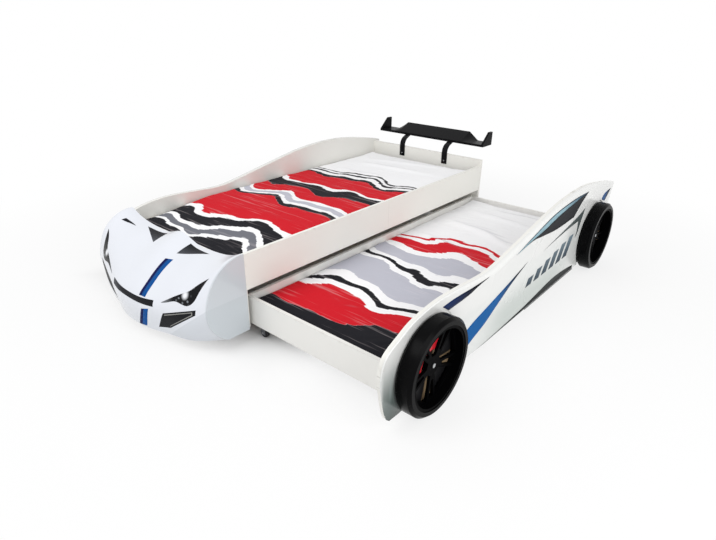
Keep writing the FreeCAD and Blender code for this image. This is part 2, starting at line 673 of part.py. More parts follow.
# Wheels: trim that is bolted on, each a tyre on a rim of five split spokes over a brake disc and a caliper.
# Each is drawn about the Y axis with its back at zero, and then turned to face outwards.
SPOKES = 5
WINDOW = (0, 25, 17)
SLIT = (180 / SPOKES, 6, 6)
CALIPER_ANGLES = (50, 119, 188)


def revolved(name, points):
    body = doc.addObject("PartDesign::Body", name)
    sketch = outline_sketch(body, f"{name}_profile", "XY_Plane", points)
    turned = body.newObject("PartDesign::Revolution", f"{name}_turned")
    turned.Profile = sketch
    turned.ReferenceAxis = (sketch, ["V_Axis"])
    turned.Angle = 360
    body.Tip = turned
    return body


def pierce(body, name, opening, reach):
    """A ring of like openings through the spokes: middle, half angle at the rim, half angle at the hub."""
    middle, wide, narrow = opening
    outer, inner = reach
    points = []
    for radius, angle in ((outer, middle + wide), (outer, middle - wide),
                          (inner, middle - narrow), (inner, middle + narrow)):
        turn = math.radians(angle)
        points.append((f"{radius} * {math.sin(turn):.6f}", f"{radius} * {math.cos(turn):.6f}"))
    sketch = outline_sketch(body, f"{name}_outline", "XZ_Plane", points)
    doc.recompute()
    before = body.Shape.Volume
    pocket = body.newObject("PartDesign::Pocket", f"{name}_pocket")
    pocket.Profile = sketch
    pocket.Type = 1
    pocket.Midplane = True
    pattern = body.newObject("PartDesign::PolarPattern", f"{name}_pattern")
    pattern.Originals = [pocket]
    pattern.Axis = (next(f for f in body.Origin.OriginFeatures if f.Role == "Y_Axis"), [""])
    pattern.Angle = 360
    pattern.Occurrences = SPOKES
    body.Tip = pattern
    doc.recompute()
    if body.Shape.Volume >= before:
        raise RuntimeError(f"{name} cut nothing")


def caliper_shape(outward):
    """A block on the face of the brake disc, round its front upper part."""
    inner = mm("caliper_inside")
    seat_y = mm("disc_stand") + mm("disc_height")
    turns = [math.radians(angle) for angle in CALIPER_ANGLES]
    ways = [Vector(outward * math.cos(turn), 0, math.sin(turn)) for turn in turns]
    low, high = ([way * radius + Vector(0, seat_y, 0) for way in ways]
                 for radius in (inner, inner + mm("caliper_thick")))
    edges = [Part.Arc(*low).toShape(), Part.Arc(*high).toShape(),
             curve_through([low[0], high[0]]), curve_through([low[-1], high[-1]])]
    return Part.Face(Part.Wire(Part.__sortEdges__(edges))).extrude(Vector(0, mm("caliper_height"), 0))


spoke_face = "(size.wheel_width - size.rim_lip_depth)"
spoke_back = f"({spoke_face} - size.spoke_depth)"
rim_face = "(size.wheel_width - size.rim_wall / 2)"
rim_inside = "(size.rim_radius - size.rim_lip)"
barrel = "(size.rim_radius - size.rim_wall)"
disc_top = "(size.disc_stand + size.disc_height)"
shoulder = "(size.wheel_radius - size.tyre_shoulder)"


def wheel(place, x, face_y, outward):
    """The four pieces of one wheel. Gives back the head of its hub bolt."""
    base_y = f"{face_y} + {outward} * size.well_depth"

    def seat(part, piece):
        part.Placement = FreeCAD.Placement(Vector(), Rotation(Vector(0, 0, 1), 0 if outward > 0 else 180))
        for letter, formula in (("x", x), ("y", base_y), ("z", "at.wheel_z")):
            part.setExpression(f"Placement.Base.{letter}", formula)
        finish(part, f"{place}_{piece}")

    seat(revolved(f"{place}_tyre_body", (
        ("size.rim_radius", "0"), (shoulder, "0"), ("size.wheel_radius", "size.tyre_shoulder"),
        ("size.wheel_radius", "size.wheel_width - size.tyre_shoulder"), (shoulder, "size.wheel_width"),
        ("size.rim_radius", "size.wheel_width"))), "tyre")
    rim = revolved(f"{place}_rim_body", (
        ("0", spoke_back), (barrel, spoke_back), (barrel, "0"), ("size.rim_radius", "0"),
        ("size.rim_radius", rim_face), (rim_inside, rim_face), (rim_inside, spoke_face), ("0", spoke_face)))
    pierce(rim, f"{place}_window", WINDOW, (rim_inside, "(size.hub_radius + size.rim_lip)"))
    pierce(rim, f"{place}_slit", SLIT, (f"({rim_inside} - size.rim_wall)", "(2 * size.hub_radius)"))
    seat(rim, "rim")
    seat(revolved(f"{place}_disc_body", (
        ("0", "0"), ("size.hub_radius", "0"), ("size.hub_radius", "size.disc_stand"),
        ("size.disc_radius", "size.disc_stand"), ("size.disc_radius", disc_top),
        ("size.hub_radius", disc_top), ("size.hub_radius", spoke_back), ("0", spoke_back))), "brake_disc")
    seat(shaped(f"{place}_caliper_block", caliper_shape(outward)), "caliper")
    head = spoke_face if outward > 0 else f"({spoke_face} + size.bolt_head)"
    return rod(f"{place}_bolt", "y", "size.bolt_radius", "size.bolt_head", x,
               f"{base_y} + {outward} * {head}", "at.wheel_z")


for side, face_y, outward in (("near", "at.trundle_out_y", -1), ("far", "at.far_y", 1)):
    bolts = [wheel(f"{side}_{end}", f"at.{end}_wheel_x", face_y, outward) for end in ("front", "rear")]
    finish(group(f"{side}_bolt_set", bolts), f"{side}_wheel_bolts")

# The rear wing: a blade nearly as wide as the bed, raised in the middle towards its back edge, with a fin at
# each end.
wing_ends = (mm("rail_y") + mm("wing_end_inset"), mm("far_y") - mm("wing_end_inset"))


def wing_section(x, rise):
    """One crosswise section of the blade, as a plate of even height."""
    near, far = wing_ends
    inner = mm("wing_plateau_inset")
    outer = inner - mm("wing_slope_run")
    stops = ((near, 0), (near + outer, 0), (near + inner, rise),
             (far - inner, rise), (far - outer, 0), (far, 0))
    under = [Vector(x, y, mm("wing_bottom") + lift) for y, lift in stops]
    over = [point + Vector(0, 0, mm("wing_blade")) for point in under]
    return Part.makePolygon(under + over[::-1] + under[:1])


def wing_fin(y):
    front, rear = mm("wing_front_x"), mm("wing_rear_x")
    low, high = mm("wing_bottom"), mm("wing_fin_top")
    outline = ((front, low), (rear, low), (rear, high), (rear - mm("wing_chord") / 3, high),
               (front, low + mm("wing_blade")))
    points = [Vector(x, y, z) for x, z in outline]
    return Part.Face(Part.makePolygon(points + points[:1])).extrude(Vector(0, mm("wing_fin"), 0))


blade = Part.makeLoft([wing_section(mm("wing_front_x"), 0), wing_section(mm("wing_rear_x"), mm("wing_rise"))],
                      True, True)
wing = blade.fuse([wing_fin(wing_ends[0]), wing_fin(wing_ends[1] - mm("wing_fin"))])
finish(shaped("wing_moulding", wing.removeSplitter().Solids[0]), "rear_wing")


def strap(middle_y):
    """A steel strip up the inside of the rear panel, bent back to lie under the blade's raised middle."""
    slope = math.atan2(mm("wing_rise"), mm("wing_chord"))
    along = Vector(math.cos(slope), 0, math.sin(slope))
    across = Vector(math.sin(slope), 0, -math.cos(slope)) * mm("strap_steel")
    low_y = middle_y - mm("strap_width") / 2
    face_x = mm("bay_rear_x") - mm("strap_steel")
    blade_edge = Vector(mm("wing_front_x"), low_y, mm("wing_bottom"))
    corner = blade_edge - along * ((blade_edge.x - face_x) / along.x)
    turn = math.pi / 2 - slope
    reach = mm("strap_lean") * math.tan(turn / 2)
    centre = corner + Vector(mm("strap_lean"), 0, -reach)
    end = blade_edge + along * (mm("wing_chord") / 2)
    foot = Vector(face_x, low_y, mm("strap_foot"))
    thick = Vector(mm("strap_steel"), 0, 0)
    bends = []
    for radius in (mm("strap_lean"), mm("strap_lean") - mm("strap_steel")):
        bends.append([centre + Vector(-math.cos(angle), 0, math.sin(angle)) * radius
                      for angle in (0, turn / 2, turn)])
    outside, inside = bends
    lines = ((foot, outside[0]), (outside[-1], end), (end, end + across), (end + across, inside[-1]),
             (inside[0], foot + thick), (foot + thick, foot))
    edges = [Part.Arc(*bend).toShape() for bend in bends] + [curve_through(line) for line in lines]
    return Part.Face(Part.Wire(Part.__sortEdges__(edges))).extrude(Vector(0, mm("strap_width"), 0))


# Two bent straps hold the wing, each with one screw into the rear panel.
wing_screws = []
for side, way in (("near", -1), ("far", 1)):
    strip = strap(mm("wing_mid_y") + way * mm("strap_spread") / 2)
    finish(shaped(f"{side}_strap", strip), f"{side}_wing_strap")
    wing_screws.append(rod(f"{side}_wing_screw", "x", "size.screw_head_radius", "size.screw_head",
                           "at.bay_rear_x - size.strap_steel - size.screw_head",
                           f"at.wing_mid_y + {way} * at.strap_spread / 2",
                           "size.strap_foot + size.strap_width / 2"))
finish(group("wing_screw_set", wing_screws), "wing_screws")

doc.recompute()
faults = [item.Label for item in doc.Objects if "Invalid" in item.State or "Error" in item.State]
faults += [part.Label for part in finished if part.Shape.isNull() or not part.Shape.isValid()]
if faults:
    raise RuntimeError(f"not sound: {faults}")
os.makedirs("parts", exist_ok=True)
for part in finished:
    part.Shape.exportStep(f"parts/{part.Label}.step")
print(len(finished), "sub-parts written")
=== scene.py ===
import math

import bmesh
import bpy
from mathutils import Matrix, Vector, noise
from mathutils.bvhtree import BVHTree


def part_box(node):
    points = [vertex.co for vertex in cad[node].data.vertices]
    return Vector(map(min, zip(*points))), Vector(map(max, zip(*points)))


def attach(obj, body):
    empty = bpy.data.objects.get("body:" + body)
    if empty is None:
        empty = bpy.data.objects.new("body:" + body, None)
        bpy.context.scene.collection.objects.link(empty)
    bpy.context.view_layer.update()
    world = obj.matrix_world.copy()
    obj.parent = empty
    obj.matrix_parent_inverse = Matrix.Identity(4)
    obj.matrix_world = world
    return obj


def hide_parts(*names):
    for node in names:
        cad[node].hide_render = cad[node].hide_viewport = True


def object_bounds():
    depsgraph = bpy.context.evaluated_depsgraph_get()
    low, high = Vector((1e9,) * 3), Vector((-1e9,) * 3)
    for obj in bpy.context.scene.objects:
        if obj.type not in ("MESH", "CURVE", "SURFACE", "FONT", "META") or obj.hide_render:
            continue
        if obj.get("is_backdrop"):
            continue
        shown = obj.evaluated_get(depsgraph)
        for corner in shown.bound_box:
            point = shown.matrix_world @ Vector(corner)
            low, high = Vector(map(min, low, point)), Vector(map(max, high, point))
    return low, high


# A child's car bed with a second bed rolled out sideways from under it. The car's nose points to -X, the
# second bed comes out to -Y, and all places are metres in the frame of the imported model.
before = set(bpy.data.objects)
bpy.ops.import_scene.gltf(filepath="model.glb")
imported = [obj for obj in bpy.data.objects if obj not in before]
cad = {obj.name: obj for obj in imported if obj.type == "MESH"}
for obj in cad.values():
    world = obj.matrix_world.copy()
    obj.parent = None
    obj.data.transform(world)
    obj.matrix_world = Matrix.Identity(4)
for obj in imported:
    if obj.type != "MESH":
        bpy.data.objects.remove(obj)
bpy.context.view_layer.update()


# The boards of the main bed: the near rail and the front and rear panels. They are chipboard with a warm
# white melamine face and a one-millimetre lipping on the narrow edges, screwed together at the corners.
class Field:
    """A socket in a material's nodes. Sums on fields add Math nodes, with plain numbers as values."""

    def __init__(self, tree, socket):
        self.tree = tree
        self.socket = socket

    def node(self, kind, settings=(), sockets=(), output=0):
        """Adds a node of one kind, sets it up, then gives its sockets values or links."""
        made = self.tree.nodes.new("ShaderNode" + kind)
        for name, value in dict(settings).items():
            setattr(made, name, value)
        for name, value in dict(sockets).items():
            if isinstance(value, Field):
                self.tree.links.new(value.socket, made.inputs[name])
            else:
                made.inputs[name].default_value = value
        return Field(self.tree, made.outputs[output])

    def also(self, output):
        """Another output of the same node."""
        return Field(self.tree, self.socket.node.outputs[output])

    def maths(self, operation, other=0.0):
        return self.node("Math", {"operation": operation}, {0: self, 1: other})

    def __add__(self, other):
        return self.maths("ADD", other)

    def __sub__(self, other):
        return self.maths("SUBTRACT", other)

    def __rsub__(self, other):
        return self.node("Math", {"operation": "SUBTRACT"}, {0: other, 1: self})

    def __mul__(self, other):
        return self.maths("MULTIPLY", other)

    def __and__(self, other):
        return self.maths("MINIMUM", other)

    def __or__(self, other):
        return self.maths("MAXIMUM", other)

    def __abs__(self):
        return self.maths("ABSOLUTE")

    __radd__ = __add__
    __rmul__ = __mul__


def ink(red, green, blue):
    """A colour as it looks on screen, 0 to 255, as the numbers that a shader takes."""
    shares = (red / 255, green / 255, blue / 255)
    return tuple(s / 12.92 if s <= 0.04045 else ((s + 0.055) / 1.055) ** 2.4 for s in shares) + (1.0,)


def new_finish(name):
    """A new material and the field of its places, in metres of the part's own frame."""
    material = bpy.data.materials.new(name)
    material.use_nodes = True
    tree = material.node_tree
    return material, Field(tree, tree.nodes.new("ShaderNodeTexCoord").outputs["Object"])


def shade(place, **look):
    """Feeds the finish's own shader: Base_Color=field or colour, Roughness=0.4 and so on."""
    shader = place.tree.nodes["Principled BSDF"]
    for name, value in look.items():
        socket = shader.inputs[name.replace("_", " ")]
        if isinstance(value, Field):
            place.tree.links.new(value.socket, socket)
        else:
            socket.default_value = value


def axes(place):
    """The three parts of a place or a direction: along the bed, across it and up."""
    split = place.node("SeparateXYZ", (), {0: place})
    return split, split.also("Y"), split.also("Z")


def cloudy(place, scale, detail=3.0, stretch=(1, 1, 1)):
    """Soft noise from 0 to 1, with so many spots to the metre."""
    where = place.node("VectorMath", {"operation": "MULTIPLY"}, {0: place, 1: stretch})
    return place.node("TexNoise", (), {"Vector": where, "Scale": scale, "Detail": detail})


def ease(field, low, high):
    """0 below low, 1 above high, and smooth in between."""
    return field.node("MapRange", {"interpolation_type": "SMOOTHSTEP"}, {0: field, 1: low, 2: high})


def over(mask, under, top):
    """Colour top laid over colour under where the mask is 1."""
    return mask.node("Mix", {"data_type": "RGBA"}, {0: mask, 6: under, 7: top}, 2)


def relief(height, depth, strength=1.0):
    """Bumps as deep as a number of metres, for a finish's Normal."""
    return height.node("Bump", (), {"Height": height, "Distance": depth, "Strength": strength})


def dress(material, *names):
    """Gives CAD nodes a finish."""
    for name in names:
        cad[name].data.materials.clear()
        cad[name].data.materials.append(material)


def board_finish(name, colour, joint=None):
    """Melamine on chipboard: a faint orange peel, a lipping seam near the edges and a little dirt along them.

    A long board may be made of two lengths, with a fine joint between them."""
    material, place = new_finish(f"{name}_melamine")
    low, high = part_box(name)
    thin = min(range(3), key=lambda k: high[k] - low[k])
    edge = None
    for k, along in enumerate(axes(place)):
        if k != thin:
            near = (along - low[k]) & (high[k] - along)
            edge = near if edge is None else edge & near
    seam = ease(abs(edge - 0.0012), 0.0005, 0.0002)
    if joint is not None:
        seam = seam | ease(abs(axes(place)[0] - joint), 0.0012, 0.0006)
    patches = cloudy(place, 5.0)
    rubbed = ease(edge, 0.02, 0.0) * ease(cloudy(place, 30.0), 0.45, 0.75)
    tone = over(patches, tuple(0.97 * c for c in colour[:3]) + (1,), colour)
    tone = over(rubbed * 0.25, tone, ink(186, 182, 172))
    tone = over(seam * 0.3, tone, ink(150, 146, 138))
    peel = cloudy(place, 700.0, 1.0)
    shade(place, Base_Color=tone, Roughness=0.36 + 0.12 * patches, Coat_Weight=0.12,
          Normal=relief(peel - seam, 0.00012, 0.5))
    dress(material, name)


BOARD_WHITE = ink(238, 237, 231)
RAIL_JOINT = 0.052
board_finish("near_rail", BOARD_WHITE, RAIL_JOINT)
for name in ("front_panel", "rear_panel"):
    board_finish(name, BOARD_WHITE)


# What carries the main mattress: two ledgers along the sides and birch slats that lie across them.
# The slats are plain strips with the grain running across the bed.
for name in ("near_ledger", "far_ledger"):
    board_finish(name, BOARD_WHITE)
material, place = new_finish("birch")
strips = cloudy(place, 9.0, 5.0, (8, 0.7, 8))
fibres = cloudy(place, 220.0, 2.0, (1, 0.03, 1))
grain = over(strips, ink(206, 172, 124), ink(229, 203, 160))
grain = over(ease(fibres, 0.52, 0.72) * 0.45, grain, ink(172, 132, 84))
shade(place, Base_Color=grain, Roughness=0.5 + 0.2 * fibres, Normal=relief(fibres, 0.0003, 0.4))
dress(material, "slats")


# Small hardware: zinc-plated angles and screws at the corners, and nylon glides under the panels.
# The castors' axles and screws and the wing's screws have the same plating.
def steel_finish(name, colour, rough):
    """Plated or painted sheet steel with fine rolling marks and duller patches."""
    material, place = new_finish(name)
    marks = cloudy(place, 60.0, 4.0, (1, 12, 1))
    dull = cloudy(place, 14.0)
    shade(place, Base_Color=over(dull, colour, tuple(0.8 * c for c in colour[:3]) + (1,)), Metallic=1.0,
          Roughness=rough + 0.18 * dull, Normal=relief(marks, 0.0001, 0.3))
    return material


zinc = steel_finish("zinc", ink(196, 198, 200), 0.28)
dress(zinc, "corner_brackets", "bracket_screws", "castor_screws", "castor_axles", "wing_screws")


def plastic_finish(name, colour, rough, grit=500.0, depth=0.0001, coat=0.0, mirror=0.25):
    """Moulded plastic: fine grit, faint clouds in the colour and patches of a different gloss."""
    material, place = new_finish(name)
    clouds = cloudy(place, 6.0)
    dark = tuple(0.85 * c for c in colour[:3]) + (1,)
    shade(place, Base_Color=over(clouds, dark, colour), Roughness=rough + 0.1 * clouds, Coat_Weight=coat,
          Specular_IOR_Level=mirror, Normal=relief(cloudy(place, grit, 2.0), depth, 0.5))
    return material


dress(plastic_finish("glide_nylon", ink(58, 58, 60), 0.5), "floor_glides")


# The front shell: bonnet, wings and bumper vacuum-formed in one sheet of gloss white plastic and screwed to
# the front panel from inside. Its colour is a cool white, with painted shade low down, on the near flank and
# on the bumper's two turned-in corners.
CORNER_RISE, CORNER_EDGE, CORNER_SOFT = 0.79, 0.190, 0.197
material, place = new_finish("gloss_white_sheet")
along, across, up = axes(place)
clouds = cloudy(place, 3.0)
# Painted shade: greyer low down, on the near flank and on the bumper's two turned-in corners.
low_shade = ease(up, 0.22, 0.06)
low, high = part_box("hood_shell")
flank_shade = ease(across, low.y + 0.012, low.y + 0.002)
near_corner_shade = ease(up + CORNER_RISE * across, CORNER_SOFT, CORNER_EDGE)
far_corner_shade = ease(up + CORNER_RISE * (low.y + high.y - across), CORNER_SOFT, CORNER_EDGE)
tone = over(clouds, ink(219, 222, 229), ink(225, 228, 235))
tone = over(low_shade * 0.35, tone, ink(204, 209, 214))
tone = over((near_corner_shade | far_corner_shade) * 0.5, tone, ink(192, 198, 205))
tone = over(flank_shade * 0.6, tone, ink(184, 192, 196))
ripple = cloudy(place, 24.0, 1.0)
shade(place, Base_Color=tone, Roughness=0.2 + 0.1 * clouds, Coat_Weight=0.4, Coat_Roughness=0.08,
      Normal=relief(ripple, 0.0006, 0.35))
dress(material, "hood_shell")


def flowing(points, steps=6):
    """A smooth line through points, as many steps to each gap."""
    points = [Vector(p) for p in points]
    if len(points) == 2:
        return points
    line = []
    for n in range(len(points) - 1):
        before, start, end, after = (points[max(0, min(len(points) - 1, n + k))] for k in (-1, 0, 1, 2))
        for s in range(steps):
            t = s / steps
            squared = 2 * before - 5 * start + 4 * end - after
            cubed = 3 * start - before - 3 * end + after
            line.append(0.5 * (2 * start + (end - before) * t + squared * t ** 2 + cubed * t ** 3))
    return line + [points[-1]]


# How a sticker is pressed on: the two ways in which its outline is drawn, and the way of the pressing.
SLOPE = math.sqrt(0.5)
PRESSED = {"left": ((1, 0, 0), (0, 0, 1), (0, 1, 0)), "right": ((1, 0, 0), (0, 0, 1), (0, -1, 0)),
           "down": ((1, 0, 0), (0, 1, 0), (0, 0, -1)), "back": ((0, 1, 0), (0, 0, 1), (1, 0, 0)),
           "sloping": ((0, 1, 0), (SLOPE, 0, SLOPE), (SLOPE, 0, -SLOPE))}
VINYL, VINYL_GAP, VINYL_STEP = 0.0004, 0.0002, 0.014


def sticker(name, carrier, pressed, shapes, body):
    """Vinyl shapes laid on a CAD surface.

    Each shape is a material and the strokes of its outline, in metres."""
    first, second, way = (Vector(v) for v in PRESSED[pressed])
    surface = cad[carrier].data
    tree = BVHTree.FromPolygons([v.co for v in surface.vertices], [p.vertices for p in surface.polygons])
    mesh = bmesh.new()
    materials = []
    for material, strokes in shapes:
        if material not in materials:
            materials.append(material)
        outline = []
        for stroke in strokes:
            for point in flowing(stroke):
                if not outline or (point - outline[-1]).length > 1e-4:
                    outline.append(point)
        if (outline[0] - outline[-1]).length < 1e-4:
            outline.pop()
        flat = bmesh.new()
        flat.faces.new([flat.verts.new(first * point.x + second * point.y) for point in outline])
        for side in (first, second):
            reach = [v.co.dot(side) for v in flat.verts]
            for cut in range(1, int((max(reach) - min(reach)) / VINYL_STEP) + 1):
                bmesh.ops.bisect_plane(flat, geom=flat.verts[:] + flat.edges[:] + flat.faces[:],
                                       plane_co=side * (min(reach) + VINYL_STEP * cut), plane_no=side)
        bmesh.ops.triangulate(flat, faces=flat.faces[:])
        placed = {}
        for vert in flat.verts:
            hit = tree.ray_cast(vert.co - way * 3, way)[0]
            if hit is not None:
                placed[vert] = mesh.verts.new(hit - way * (VINYL + VINYL_GAP))
        for face in flat.faces:
            if all(v in placed for v in face.verts):
                made = mesh.faces.new([placed[v] for v in face.verts])
                made.material_index = materials.index(material)
                made.smooth = True
        flat.free()
    mesh.normal_update()
    for face in mesh.faces:
        if face.normal.dot(way) > 0:
            face.normal_flip()
    piece = bpy.data.objects.new(name, bpy.data.meshes.new(name))
    mesh.to_mesh(piece.data)
    mesh.free()
    for material in materials:
        piece.data.materials.append(material)
    bpy.context.scene.collection.objects.link(piece)
    film = piece.modifiers.new("film", "SOLIDIFY")
    film.thickness = VINYL
    film.offset = -1
    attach(piece, body)


def vinyl_finish(name, colour, other=None, axis=0, span=(0, 1)):
    """Printed vinyl: a satin film with a fine dot screen, and a fade to another colour where there is one."""
    material, place = new_finish(name)
    dots = cloudy(place, 900.0, 0.0)
    tone = over(cloudy(place, 8.0), tuple(0.88 * c for c in colour[:3]) + (1,), colour)
    if other is not None:
        tone = over(ease(axes(place)[axis], *span), tone, other)
    shade(place, Base_Color=tone, Roughness=0.34 + 0.1 * dots, Specular_IOR_Level=0.03,
          Normal=relief(dots, 0.00005, 0.3))
    return material


# A two-tone stripe runs off centre down the bonnet, and goes on below the grille slot.
# It is cut vinyl film. The bonnet's length is drawn on a slope that falls to the front.
# Each half is drawn as its two top corners and its two bottom corners, far side first.
STRIPES = {
    ("bonnet_stripe", "sloping"): (((0.325, -0.545), (0.309, -0.541), (0.309, -0.742), (0.325, -0.744)),
                                   ((0.309, -0.541), (0.282, -0.534), (0.282, -0.740), (0.309, -0.742))),
    ("bumper_stripe", "back"): (((0.302, 0.163), (0.284, 0.168), (0.332, 0.066), (0.354, 0.064)),
                                ((0.284, 0.168), (0.255, 0.175), (0.298, 0.070), (0.332, 0.066))),
}
films = (vinyl_finish("navy_film", ink(24, 30, 82)), vinyl_finish("blue_film", ink(18, 82, 152)))
for (name, pressed), halves in STRIPES.items():
    shapes = [(film, tuple(zip(corners, corners[1:] + corners[:1]))) for film, corners in zip(films, halves)]
    sticker(name, "hood_shell", pressed, shapes, "main_bed")
black_film = vinyl_finish("black_film", ink(30, 32, 36))
FLASH = (((-1.065, 0.815), (-1.057, 0.785), (-1.048, 0.757), (-1.041, 0.717)),
         ((-1.041, 0.717), (-1.038, 0.757), (-1.043, 0.806)),
         ((-1.043, 0.806), (-1.065, 0.815)))
sticker("bonnet_flash", "hood_shell", "down", ((black_film, FLASH),), "main_bed")


# Inserts in the front shell. Vents, slot and intakes are dark moulded plastic set flush in their openings,
# and a fine silver line runs along two edges of each intake.
def vent_finish(name, axis, span):
    """Dark plastic with a fine mesh moulded in, lighter towards one end."""
    material, place = new_finish(name)
    along, across, up = axes(place)
    mesh = abs(((across + along) * 900).maths("SINE")) | abs(((across - along) * 900).maths("SINE"))
    tone = over(ease((along, across, up)[axis], *span), ink(26, 27, 31), ink(84, 86, 92))
    tone = over(ease(mesh, 0.75, 0.95) * 0.5, tone, ink(16, 17, 20))
    shade(place, Base_Color=tone, Roughness=0.4 + 0.15 * cloudy(place, 12.0), Specular_IOR_Level=0.08,
          Normal=relief(mesh, 0.0005, 0.5))
    return material


dress(vent_finish("vent_mesh", 0, (-1.0, -1.075)), "near_bonnet_vent", "far_bonnet_vent")
dress(vent_finish("slot_mesh", 1, (0.437, 0.607)), "grille_slot")
dress(vent_finish("intake_mesh", 2, (0.3, 0.5)), "near_intake", "far_intake")
HOOD_MIDDLE = 0.402
INTAKE_LINE = ((0.167, 0.1685), (0.009, 0.2215), (0.009, 0.2060), (0.147, 0.1120), (0.145, 0.1165),
               (0.0135, 0.2080), (0.0135, 0.2165), (0.166, 0.1640), (0.167, 0.1685))
silver_film = vinyl_finish("silver_film", ink(150, 150, 146))
for name, side in (("near", 1), ("far", -1)):
    line = [(HOOD_MIDDLE + side * (y - HOOD_MIDDLE), z) for y, z in INTAKE_LINE]
    shapes = ((silver_film, tuple(zip(line, line[1:]))),)
    sticker(f"{name}_intake_line", f"{name}_intake", "back", shapes, "main_bed")


# Headlights are dark lenses. A painted highlight, a bright round spot, sits in the middle of each, facets
# with painted glints lie round it, and the corner towards the slot is paler.
material, place = new_finish("smoked_lens")
along, across, up = axes(place)
facets = place.node("TexVoronoi", {"feature": "F1"}, {"Vector": place, "Scale": 60.0})
cells = facets.also("Color").node("SeparateXYZ", (), {0: facets.also("Color")})
side = abs(across - HOOD_MIDDLE)
SPOT_OUT, SPOT_HEIGHT = 0.343, 0.283
spot_y, spot_z = side - SPOT_OUT, up - SPOT_HEIGHT
reach = (spot_y * spot_y + spot_z * spot_z).maths("SQRT")
# A painted highlight in the middle of each lens, and painted glints on the facets round it.
highlight_spot = ease(reach, 0.024, 0.004)
facet_glints = ease(cells, 0.6, 0.95) * ease(facets, 0.5, 0.2) * ease(reach, 0.09, 0.03)
pale = ease(side, 0.285, 0.225) * 0.35
tone = over(pale, ink(13, 14, 17), ink(190, 194, 200))
tone = over(facet_glints * 0.55, tone, ink(176, 182, 190))
tone = over(highlight_spot, tone, ink(242, 244, 248))
shade(place, Base_Color=tone, Roughness=0.14 + 0.2 * cloudy(place, 20.0), Metallic=highlight_spot * 0.3,
      Coat_Weight=0.06, Coat_Roughness=0.05, Specular_IOR_Level=0.08, Normal=relief(facets, 0.002, 0.2))
dress(material, "near_headlight", "far_headlight")


# The car's sides: boards cut to the outline, with a gloss white moulding over each and a dark strip below.
# The far board is fixed to the main bed, and the near one is the second bed's outer side. Each moulding has
# painted shade below its waist, on the door, in front of the front wheel and at its foot, a painted highlight
# on a ridge in front of the front wheel, and painted shadow in black behind the wheels.
for name in ("far_side_board", "trundle_side_board"):
    board_finish(name, ink(231, 230, 225))
material, place = new_finish("gloss_white_moulding")
along, across, up = axes(place)
clouds = cloudy(place, 3.0)
waist = 0.296 + 0.04 * ease(along, -0.45, -0.1)
# Painted shade below the waist, on the lower door, in front of the front wheel and at its foot, and a painted
# highlight along a ridge in front of the front wheel.
below_waist_shade = ease(up - waist, 0.004, -0.03)
door_shade = ease(up, 0.28, 0.13) * ease(along, -0.5, -0.15) * ease(along, 0.7, 0.35)
nose_shade = ease(up, 0.36, 0.11) * ease(along, -0.93, -1.03) * ease(along, -1.097, -1.072)
foot = ease(up, 0.16, 0.04) * ease(along, -0.9, -0.95) * ease(along, -1.085, -1.06)
ridge_highlight = ease(abs(along + 1.035), 0.013, 0.002) * ease(up, 0.12, 0.2)
tone = over(clouds, ink(225, 226, 224), ink(232, 232, 230))
tone = over(below_waist_shade * 0.3, tone, ink(210, 215, 213))
tone = over(door_shade * 0.6, tone, ink(166, 178, 171))
tone = over(nose_shade * 0.92, tone, ink(60, 80, 75))
tone = over(nose_shade * ridge_highlight * 0.4, tone, ink(170, 184, 182))
tone = over(foot * 0.9, tone, ink(44, 58, 54))
# Inside each wheel's circle the moulding is painted black: painted shadow in the wheel wells.
for end in ("front", "rear"):
    low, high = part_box(f"near_{end}_tyre")
    out_x, out_z = along - (low.x + high.x) / 2, up - (low.z + high.z) / 2
    reach = (out_x * out_x + out_z * out_z).maths("SQRT")
    radius = (high.x - low.x) / 2
    tone = over(ease(reach, radius - 0.018, radius - 0.022), tone, ink(14, 14, 15))
shade(place, Base_Color=tone, Roughness=0.22 + 0.1 * clouds, Coat_Weight=0.3, Coat_Roughness=0.08,
      Normal=relief(cloudy(place, 20.0, 1.0), 0.0006, 0.35))
dress(material, "far_side_shell", "near_side_shell")
dress(plastic_finish("sill_plastic", ink(34, 37, 37), 0.42), "far_sill_trim", "near_sill_trim")


# Stickers on each side: flashes behind the front wheel, a false side window with its frame, a line along the
# door, a dark sill, a row of slanted bars, and a tail flash. The far side has the same set the other way
# round.
teal_film = vinyl_finish("teal_film", ink(150, 184, 196), ink(36, 62, 84), 0, (0.3, 0.68))
frame_film = vinyl_finish("frame_film", ink(26, 40, 60))
swoosh_film = vinyl_finish("swoosh_film", ink(14, 92, 158), ink(18, 26, 36), 0, (-0.3, -0.08))
wedge_film = vinyl_finish("wedge_film", ink(22, 44, 92), ink(22, 24, 30), 0, (-0.72, -0.5))
grey_film = vinyl_finish("grey_film", ink(120, 126, 126), ink(70, 78, 78), 0, (0.2, 0.6))
tail_film = vinyl_finish("tail_film", ink(36, 88, 146), ink(20, 30, 46), 0, (1.04, 1.10))
sill_film = vinyl_finish("sill_film", ink(54, 58, 57), ink(30, 33, 33), 2, (0.095, 0.07))
bar_film = vinyl_finish("bar_film", ink(52, 66, 78), ink(112, 128, 138), 2, (0.16, 0.31))
WINDOW_TOP = ((-0.166, 0.424), (-0.039, 0.458), (0.118, 0.494), (0.270, 0.518), (0.494, 0.528),
              (0.700, 0.520))
WINDOW_FRAME = ((-0.166, 0.424), (-0.039, 0.453), (0.118, 0.488), (0.270, 0.512), (0.494, 0.522),
                (0.700, 0.520))
WINDOW_WAIST = ((-0.130, 0.4275), (0.006, 0.447), (0.139, 0.459), (0.311, 0.488), (0.533, 0.508),
                (0.700, 0.520))
